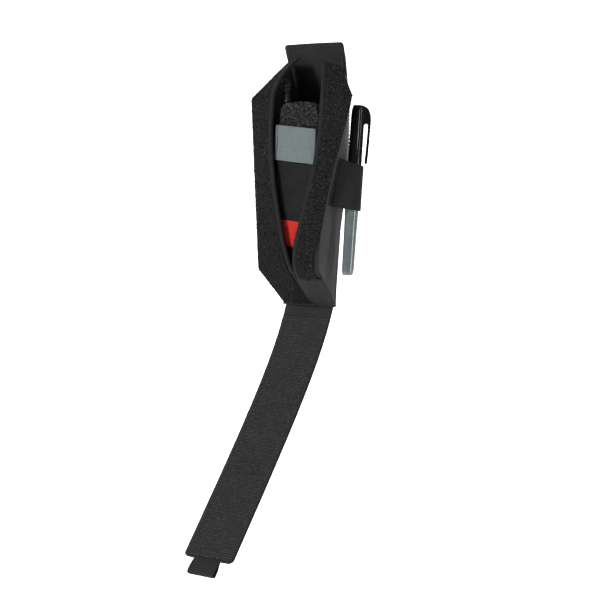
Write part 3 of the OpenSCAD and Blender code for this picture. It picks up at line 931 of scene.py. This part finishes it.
def hook_field(word, s0, s1, half, body):
    """Rows of small hooks, each a short post with a bent tip. The rows keep one pitch along the whole flap."""
    paths = []
    first = math.ceil((s0 - HOOK_FROM) / HOOK_PITCH)
    last = math.floor((s1 - HOOK_FROM - 0.5 * MM) / HOOK_PITCH)
    cols = int(2 * half / (1.15 * MM))
    for i in range(first, last + 1):
        s = HOOK_FROM + (i + 0.4) * HOOK_PITCH
        front = flap_front(s)
        along = unit(flap_point(0, s + MM) - flap_point(0, s))
        side_step = np.array([0.35 * MM, 0, 0])
        for j in range(cols):
            x = -half + (j + 0.25 + 0.5 * (i % 2)) * 2 * half / cols
            foot = flap_point(x, s, 0.2 * MM)
            sway = rng.normal(scale=0.12 * MM, size=3)
            paths.append([foot - side_step, foot + front * 0.5 * MM + sway - side_step * 0.5,
                          foot + front * 0.62 * MM + along * 0.35 * MM + sway + side_step,
                          foot + front * 0.1 * MM + along * 0.5 * MM + side_step])
    return tubes(f"flap_{word}_hooks", paths, 0.19 * MM, 4, body, HOOK)


def flap_box_stitch():
    """The short stitched box that holds the pull tab's webbing, seen through the hook face."""
    s0, s1 = FLAP_L * 0.625, FLAP_L * 0.665
    x0, x1 = -13 * MM, 9 * MM
    rows = {"low": (x0, x1, s0, s0), "high": (x0, x1, s1, s1), "side": (x1, x1, s0, s1)}
    for word, (xa, xb, sa, sb) in rows.items():
        line = [flap_point(lerp(xa, xb, t), lerp(sa, sb, t), -0.55 * MM) for t in np.linspace(0, 1, 16)]
        stitches(f"flap_box_{word}", line, flap_front(s0), "flap_mid", pitch=2.6 * MM, length=2.3 * MM,
                 radius=0.45 * MM)


# ---------------------------------------------------------------- pull tab


def pull_tab():
    """Webbing folded into a loop, its two ends sewn under the flap's end."""
    half = (high("pull_tab")[0] - low("pull_tab")[0]) / 2
    mid = (high("pull_tab")[0] + low("pull_tab")[0]) / 2 + 3.2 * MM
    start = flap_point(0, FLAP_L - 0.4 * MM, 0.9 * MM)
    lean = flap_lean(FLAP_L)
    down = np.array([0, -math.sin(lean), -math.cos(lean)])
    behind = np.array([0, math.cos(lean), -math.sin(lean)])
    reach = 13.6 * MM
    route = [start - down * 0.5 * MM]
    route += [start + down * reach * f + behind * b * MM for f, b in ((0.3, -0.8), (0.55, -1.5), (0.8, -1.5))]
    centre = start + down * reach * 0.86 + behind * 0.9 * MM
    route += [centre + 2.3 * MM * (math.sin(a) * down - math.cos(a) * behind) for a in np.linspace(0.3, 2.9, 9)]
    route += [start + down * reach * f + behind * b * MM for f, b in ((0.75, 3.1), (0.5, 3.0), (0.28, 2.1))]
    route += [start - down * 0.5 * MM + behind * 1.2 * MM]
    line = blurred(resampled(route, 90), 2, held=False)
    points = np.array([[p + np.array([mid + u * half, 0, 0]) for u in np.linspace(-1, 1, 26)] for p in line])
    piece = sheet("pull_tab_webbing", points, 1.1 * MM, "pull", WEBBING)
    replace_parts(piece, "pull_tab")


# ---------------------------------------------------------------- tourniquet

TILT = math.radians(2)
BUNDLE = np.array([0, REAR - 31.8 * MM, HEM + 29 * MM])
BUNDLE_UP = np.array([0, -math.sin(TILT), math.cos(TILT)])
BUNDLE_IN = np.array([0, math.cos(TILT), math.sin(TILT)])


def bundle_point(x, y, z):
    """Point in the folded tourniquet: x across, y behind its front face, z up from its lower end, in mm."""
    return BUNDLE + np.array([x * MM, 0, 0]) + BUNDLE_IN * y * MM + BUNDLE_UP * z * MM


def bend(y0, y1, z, up=True, count=9):
    """Half turn of a folded band between two depths."""
    middle, r = (y0 + y1) / 2, (y1 - y0) / 2
    sign = 1 if up else -1
    angles = np.linspace(math.pi, 0, count)
    return [(middle + r * math.cos(a), z + sign * r * math.sin(a)) for a in angles]


def outer_band():
    """The band's fold over the top of the bundle, with rounded shoulders. Its loop pile shows above the strap."""
    top, bottom = 130.4, 6.0
    route = [(1.75, bottom)] + [(1.75, z) for z in np.linspace(20, top - 2, 12)]
    route += bend(1.75, 5.1, top + 1.2) + [(5.1, z) for z in np.linspace(top - 2, bottom, 12)]
    route = smooth_route(route, 160, 2)
    near = np.clip((route[:, 1] - (top - 10)) / 13, 0, 1)
    halves = 19 - 4.5 * (1 - np.sqrt(1 - near ** 2))
    points = np.array([[bundle_point(u * h, y - 1.1 * n * (1 - u * u), z - 2.2 * n * u ** 4)
                        for u in np.linspace(1, -1, 44)] for (y, z), h, n in zip(route, halves, near)])
    piece = sheet("outer_band_webbing", points, 1.3 * MM, "tourniquet", BAND)
    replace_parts(piece, "outer_band")
    seen = slice(66, 90)
    p, n = scatter(points[seen], grid_normals(points)[seen], 1300)
    pile("outer_band_pile", p, n, 0.9 * MM, 0.2 * MM, "tourniquet", BAND_YARN, 0.8)


def ribs(shape, count, depth, fall=0.0):
    """Ribs across a band, falling by a number of ribs from one side to the other, as woven webbing has them."""
    v = np.linspace(0, count, shape[0])[:, None]
    u = np.linspace(0, fall, shape[1])[None, :]
    return depth * (0.5 + 0.5 * np.sin(2 * math.pi * (v - u))) - depth


SLANT_FALL = 0.10  # how much the tail, its tip and the strap fall for each millimetre to the right


def tail_band():
    """The band's free end, down the front. It lies a little askew, so its ribs and its tip fall to the right."""
    points = np.array([[bundle_point(x, 0.05, lerp(37.2 - SLANT_FALL * x, 112, t)) for x in np.linspace(19, -19, 60)]
                       for t in np.linspace(0, 1, 260)])
    piece = sheet("tail_band_webbing", points, 1.35 * MM, "tourniquet", BAND,
                  bumps=ribs(points.shape[:2], 52, 0.16 * MM, 1.2))
    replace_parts(piece, "tail_band")
    for side, hand in SIDES:
        line = [bundle_point(side * 17.2, 0.0, z) for z in np.linspace(40, 111, 40)]
        stitches(f"tail_band_selvedge_{hand}", line, -BUNDLE_IN, "tourniquet", pitch=1.6 * MM, length=1.3 * MM,
                 radius=0.2 * MM)


def red_tip():
    """End of the band, dipped red and cut to a blunt point."""
    rows = []
    for drop in np.linspace(0, 1, 60):
        half = 19 * math.sqrt(max(0.02, 1 - max(0, (drop - 0.25) / 0.75) ** 2.2))
        rows.append([bundle_point(u * half, 0.05 + 0.6 * drop, lerp(36.9 - SLANT_FALL * u * half, 15.8, drop))
                     for u in np.linspace(-1, 1, 60)])
    points = np.array(rows)
    creases = 0.25 * MM * np.sin(np.linspace(0, 9 * math.pi, 60))[None, :] * np.linspace(0.3, 1, 60)[:, None]
    piece = sheet("red_tip_webbing", points, 1.2 * MM, "tourniquet", RED,
                  bumps=soft_noise(points.shape[:2], 2, 0.07 * MM) + creases)
    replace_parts(piece, "red_tip")


def inner_band():
    y0, y1, bottom, top = 17.9, 27.2, 9.0, 122.5
    route = bend(y0, y1, top, True, 15) + [(y1, z) for z in np.linspace(top - 6, bottom + 5, 20)]
    route += [(y, z) for y, z in bend(y0, y1, bottom, False, 15)[::-1]]
    route += [(y0, z) for z in np.linspace(bottom + 5, top - 6, 20)] + [(y0, top - 1)]
    points = np.array([[bundle_point(x, y, z) for x in np.linspace(19, -19, 44)]
                       for y, z in smooth_route(route, 200, 2)])
    piece = sheet("inner_band_webbing", points, 2.1 * MM, "tourniquet", BAND,
                  bumps=ribs(points.shape[:2], 90, 0.2 * MM))
    fix_normals(piece)
    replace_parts(piece, "inner_band")


def time_straps():
    """The writable strap across the front, and its end that turns round the bundle's left side."""
    z0, z1 = 84.3, 112.7
    ts, xs = np.linspace(0, 1, 40), np.linspace(18.3, -18.3, 60)
    face = np.array([[bundle_point(x, -1.4 + 0.5 * max(0, x / 18.3) ** 4, lerp(z0, z1, t) - SLANT_FALL * x)
                      for x in xs] for t in ts])
    piece = sheet("time_strap_face", face, 1.0 * MM, "strap", STRAP,
                  bumps=soft_noise(face.shape[:2], 1, 0.04 * MM) + soft_noise(face.shape[:2], 9, 0.12 * MM))
    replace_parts(piece, "time_strap")
    turn = [(-18.7 - 4 * math.sin(a), 2.6 - 4 * math.cos(a)) for a in np.linspace(0, math.pi / 2, 14)]
    route = turn + [(-22.7, y) for y in np.linspace(3.4, 16.8, 12)]
    side = np.array([[bundle_point(x, y, lerp(z0, z1, t) - SLANT_FALL * x) for x, y in route] for t in ts])
    anchor = sheet("time_strap_side", side, 0.9 * MM, "tourniquet", STRAP,
                   bumps=soft_noise(side.shape[:2], 1, 0.03 * MM))
    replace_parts(anchor, "time_strap_anchor")


def windlass():
    """Ribbed rod: two pairs of rounded ribs near each end, with a smooth neck between the pairs."""
    half = 68.0
    end = [(0.05, half), (2.4, half), (3.5, half - 0.4), (4.1, half - 1.4), (4.4, half - 2.8)]
    for top, low in ((3.6, 6.4), (7.6, 10.2), (17.2, 19.4), (20.4, 22.6)):
        end += [(3.75, half - top + 0.5), (4.2, half - top), (4.5, half - top - 0.5), (4.5, half - low + 0.4),
                (4.2, half - low), (3.75, half - low - 0.3)]
    end += [(3.9, half - 24), (4.2, half - 26), (4.2, 0)]
    profile = [(r, -z) for r, z in end] + end[::-1][1:]
    rod = lathe("windlass_rod_bar", profile, np.zeros(3), "rod", BLACK_PLASTIC, sides=48, sharp=50)
    centre = bundle_point(-11.2, 9.9, 85)
    turn = Matrix.Rotation(TILT, 4, "X") @ Matrix.Rotation(math.radians(-7), 4, "Y")
    rod.data.transform(Matrix.Translation(Vector(centre)) @ turn)
    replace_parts(rod, "windlass_rod")


# ---------------------------------------------------------------- marker


def marker():
    x, y = marker_axis()
    foot = np.array([x, y, low("marker_barrel")[2]])
    length = (high("marker_cap")[2] - foot[2]) / MM
    neck = (high("marker_barrel")[2] - foot[2]) / MM
    barrel = [(0.05, 3.1), (2.4, 3.1), (2.6, 2.8), (2.65, 0.8), (2.8, 0.2), (3.2, 0.05), (3.7, 0.25), (4.2, 0.9),
              (4.55, 2.0), (4.8, 4.0), (4.95, 8), (5.15, 30), (5.5, 50), (5.78, 62), (5.8, neck - 10),
              (5.7, neck - 9.2), (4.65, neck - 9), (4.6, neck), (0.05, neck)]
    piece = lathe("marker_barrel_tube", barrel, foot, "pen", BARREL)
    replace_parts(piece, "marker_barrel")
    plug = [(0.05, 0.4), (1.2, 0.4), (2.0, 0.6), (2.45, 1.0), (2.5, 2.9), (0.05, 2.9)]
    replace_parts(lathe("marker_plug", plug, foot, "pen", BARREL), "marker_end_plug")
    grip = [(0.05, neck + 0.05), (3.9, neck + 0.05), (3.8, neck + 3), (3.3, neck + 9), (2.7, neck + 13.6),
            (2.2, neck + 14), (0.05, neck + 14)]
    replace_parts(lathe("marker_grip_cone", grip, foot, "pen", BLACK_PLASTIC), "marker_grip")
    nib = [(0.05, neck + 14.1), (1.8, neck + 14.1), (1.7, neck + 17), (1.0, neck + 19.6), (0.05, neck + 20)]
    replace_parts(lathe("marker_nib_felt", nib, foot, "pen", FELT), "marker_nib")
    cap(foot, length, neck)
    clip(foot, length)


def cap(foot, length, neck):
    """Cap with shallow flutes round it and a domed, stepped top."""
    profile = [(4.9, neck - 8.3), (5.5, neck - 8.4), (5.75, neck - 8.0), (5.78, neck - 6), (5.6, neck - 5),
               (5.55, length - 26), (5.5, length - 10), (5.3, length - 5.5), (5.0, length - 3.2), (4.5, length - 1.2),
               (3.8, length - 0.3), (2.4, length), (0.05, length), (0.05, length - 3), (3.3, length - 3),
               (4.6, length - 12), (4.8, neck), (4.9, neck - 8.3)]
    sides = 96
    angles = np.linspace(0, 2 * math.pi, sides, endpoint=False)
    flutes = np.clip(np.cos(angles * 9), 0, 1) ** 2 * 0.32
    rings = []
    for k, (r, z) in enumerate(profile):
        cut = flutes if 5 <= k <= 7 else 0 * flutes
        rings.append(np.stack([(r - cut) * np.cos(angles), (r - cut) * np.sin(angles), np.full(sides, z)], 1))
    verts = np.concatenate(rings) * MM + foot
    uv = np.array([[a * 5 * MM, z * MM] for r, z in profile for a in angles])
    piece = new_mesh("marker_cap_shell", verts, grid_faces(len(profile), sides, wrap=True), "cap", CAP_PLASTIC,
                     uv, sharp=40)
    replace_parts(piece, "marker_cap")


def soften(obj, width, angle=30):
    """Rounds a piece's sharp edges."""
    bm = bmesh.new()
    bm.from_mesh(obj.data)
    bmesh.ops.remove_doubles(bm, verts=bm.verts, dist=1e-6)
    bmesh.ops.dissolve_limit(bm, angle_limit=math.radians(2), verts=bm.verts, edges=bm.edges)
    sharp = [e for e in bm.edges if len(e.link_faces) == 2 and e.calc_face_angle(0) > math.radians(angle)]
    bmesh.ops.bevel(bm, geom=sharp, offset=width, segments=3, profile=0.5, affect="EDGES",
                    clamp_overlap=True)
    bmesh.ops.recalc_face_normals(bm, faces=bm.faces)
    bm.to_mesh(obj.data)
    bm.free()
    obj.data.polygons.foreach_set("use_smooth", [True] * len(obj.data.polygons))
    obj.data.set_sharp_from_angle(angle=math.radians(40))


def clip(foot, length):
    """Clip that springs from the cap's top with a deep root and hangs beside it, with a bead at its tip."""
    outline = [(3.4, -0.5), (6.0, -1.0), (8.6, -3.4), (10.3, -7.5), (10.9, -12), (10.9, -18), (10.6, -30),
               (10.3, -40), (10.1, -45), (9.6, -47.2), (8.7, -47.8), (7.8, -47.0), (7.5, -45), (7.9, -40),
               (8.3, -30), (8.5, -20), (8.2, -15.5), (7.4, -14.2), (6.5, -14.6), (6.1, -16), (5.0, -16), (4.4, -10)]
    outline = smooth_route(outline + outline[:1], 90, 1)[:-1]
    turn = math.radians(30)
    out = np.array([math.cos(turn), math.sin(turn), 0])
    side = np.array([-math.sin(turn), math.cos(turn), 0])
    n = len(outline)
    verts = [foot + MM * (out * r + side * w + np.array([0, 0, length + z]))
             for w in (-2.2, 2.2) for r, z in outline]
    faces = [tuple(range(n)), tuple(range(2 * n - 1, n - 1, -1))]
    faces += [(k, n + k, n + (k + 1) % n, (k + 1) % n) for k in range(n)]
    piece = new_mesh("marker_clip_tongue", verts, faces, "cap", CAP_PLASTIC, sharp=0)
    soften(piece, 0.5 * MM, angle=60)
    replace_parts(piece, "marker_clip")


# ---------------------------------------------------------------- moulded pieces of the tourniquet


def moulded_pieces():
    """The plate, clip and buckle keep the CAD's shapes, with rounded edges."""
    for node, width in (("base_plate", 0.5), ("windlass_clip", 0.45), ("routing_buckle", 0.6)):
        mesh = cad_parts[node].data.copy()
        mesh.materials.clear()
        mesh.materials.append(BLACK_PLASTIC)
        piece = bpy.data.objects.new(node + "_moulded", mesh)
        bpy.context.scene.collection.objects.link(piece)
        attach(piece, "tourniquet")
        soften(piece, width * MM)
        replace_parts(piece, node)


# ---------------------------------------------------------------- stage, lights, camera


def stage():
    """Pale floor that curves up into a backdrop."""
    floor = cad_bounds[0][2] - 0.03
    radius, back, front, wide = 0.5, 1.6, -0.5, 2.6
    profile = [(front, 0.0), (back - radius, 0.0)]
    profile += [(back - radius + radius * math.sin(a), radius - radius * math.cos(a))
                for a in np.linspace(0.1, math.pi / 2, 12)]
    profile += [(back, 3.2)]
    verts = [(x, y, floor + z) for y, z in profile for x in (-wide, wide)]
    faces = [(2 * k, 2 * k + 1, 2 * k + 3, 2 * k + 2) for k in range(len(profile) - 1)]
    mesh = bpy.data.meshes.new("backdrop")
    mesh.from_pydata(verts, [], faces)
    mesh.polygons.foreach_set("use_smooth", [True] * len(mesh.polygons))
    mat, tree, shader = material("backdrop_paper", 0.9, 0.1)
    where = coordinates(tree, "Object")
    link(tree, ramp(tree, noise(tree, where, 0.4), [(0.3, (0.93, 0.93, 0.93)), (0.7, (0.95, 0.95, 0.95))]),
         shader.inputs["Base Color"])
    shader.inputs["Emission Color"].default_value = (1, 1, 1, 1)
    shader.inputs["Emission Strength"].default_value = 0.85
    mesh.materials.append(mat)
    obj = bpy.data.objects.new("backdrop", mesh)
    bpy.context.scene.collection.objects.link(obj)
    obj.rotation_euler[2] = math.radians(CAMERA_AZIMUTH)
    world = bpy.data.worlds.new("studio")
    world.use_nodes = True
    tree = world.node_tree
    soft = tree.nodes["Background"]
    soft.inputs["Color"].default_value = (1, 1, 1, 1)
    soft.inputs["Strength"].default_value = WORLD_LIGHT
    seen = tree.nodes.new("ShaderNodeBackground")
    seen.inputs["Color"].default_value = (1, 1, 1, 1)
    seen.inputs["Strength"].default_value = 1.0
    blend = tree.nodes.new("ShaderNodeMixShader")
    tree.links.new(tree.nodes.new("ShaderNodeLightPath").outputs["Is Camera Ray"], blend.inputs[0])
    tree.links.new(soft.outputs["Background"], blend.inputs[1])
    tree.links.new(seen.outputs["Background"], blend.inputs[2])
    tree.links.new(blend.outputs["Shader"], tree.nodes["World Output"].inputs["Surface"])
    bpy.context.scene.world = world


def lamp(name, azimuth, elevation, distance, size, power, target):
    light = bpy.data.lights.new(name, "AREA")
    light.shape = "RECTANGLE"
    light.size, light.size_y = size
    light.energy = power
    obj = bpy.data.objects.new(name, light)
    a, e = math.radians(azimuth), math.radians(elevation)
    place = Vector(target) + distance * Vector((math.sin(a) * math.cos(e), -math.cos(a) * math.cos(e), math.sin(e)))
    turn = (Vector(target) - place).to_track_quat("-Z", "Y").to_matrix().to_4x4()
    obj.matrix_world = Matrix.Translation(place) @ turn
    bpy.context.scene.collection.objects.link(obj)


CAMERA_AZIMUTH = 33.75
CAMERA_ROLL = 3.76
CAMERA_DISTANCE = 1.209
CAMERA_LENS = 87.8
AIM_LEFT, AIM_UP = 0.416, 0.155
WORLD_LIGHT = 0.20


def camera():
    """Level view of the hem from the front right, rolled so that the pouch leans to the right."""
    target = Vector((0, REAR, HEM))
    a = math.radians(CAMERA_AZIMUTH)
    toward = Vector((math.sin(a), -math.cos(a), 0))
    right = Vector((math.cos(a), math.sin(a), 0))
    up = Vector((0, 0, 1))
    roll = math.radians(CAMERA_ROLL)
    cam_right = right * math.cos(roll) + up * math.sin(roll)
    cam_up = up * math.cos(roll) - right * math.sin(roll)
    aim = cam_right * math.tan(math.radians(AIM_LEFT)) - cam_up * math.tan(math.radians(AIM_UP))
    back = (toward + aim).normalized()
    cam_right = cam_up.cross(back).normalized()
    cam_up = back.cross(cam_right)
    data = bpy.data.cameras.new("camera")
    data.lens = CAMERA_LENS
    data.sensor_width = 36
    data.clip_end = 20
    obj = bpy.data.objects.new("camera", data)
    place = Matrix((cam_right, cam_up, back)).transposed().to_4x4()
    place.translation = target + toward * CAMERA_DISTANCE
    obj.matrix_world = place
    bpy.context.scene.collection.objects.link(obj)
    bpy.context.scene.camera = obj
    bpy.context.scene.view_settings.view_transform = "Standard"


def lights():
    """A key lamp left of the camera, a strip on the right for the wall and the marker, and one lamp behind."""
    middle = (0, REAR - 20 * MM, HEM + 60 * MM)
    lamp("key", -34, 30, 1.2, (0.20, 0.30), 14, middle)
    lamp("side", 88, 12, 1.2, (0.09, 1.3), 9, middle)
    lamp("behind", 205, 25, 1.4, (0.8, 1.0), 13, middle)


# ---------------------------------------------------------------- everything

camera()
stage()
lights()
back_panel()
walls()
front_lips()
top_lips()
base_pieces()
top_tab()
left_elastic()
right_elastic()
belt_loop()
flap()
pull_tab()
outer_band()
tail_band()
red_tip()
inner_band()
time_straps()
windlass()
marker()
moulded_pieces()
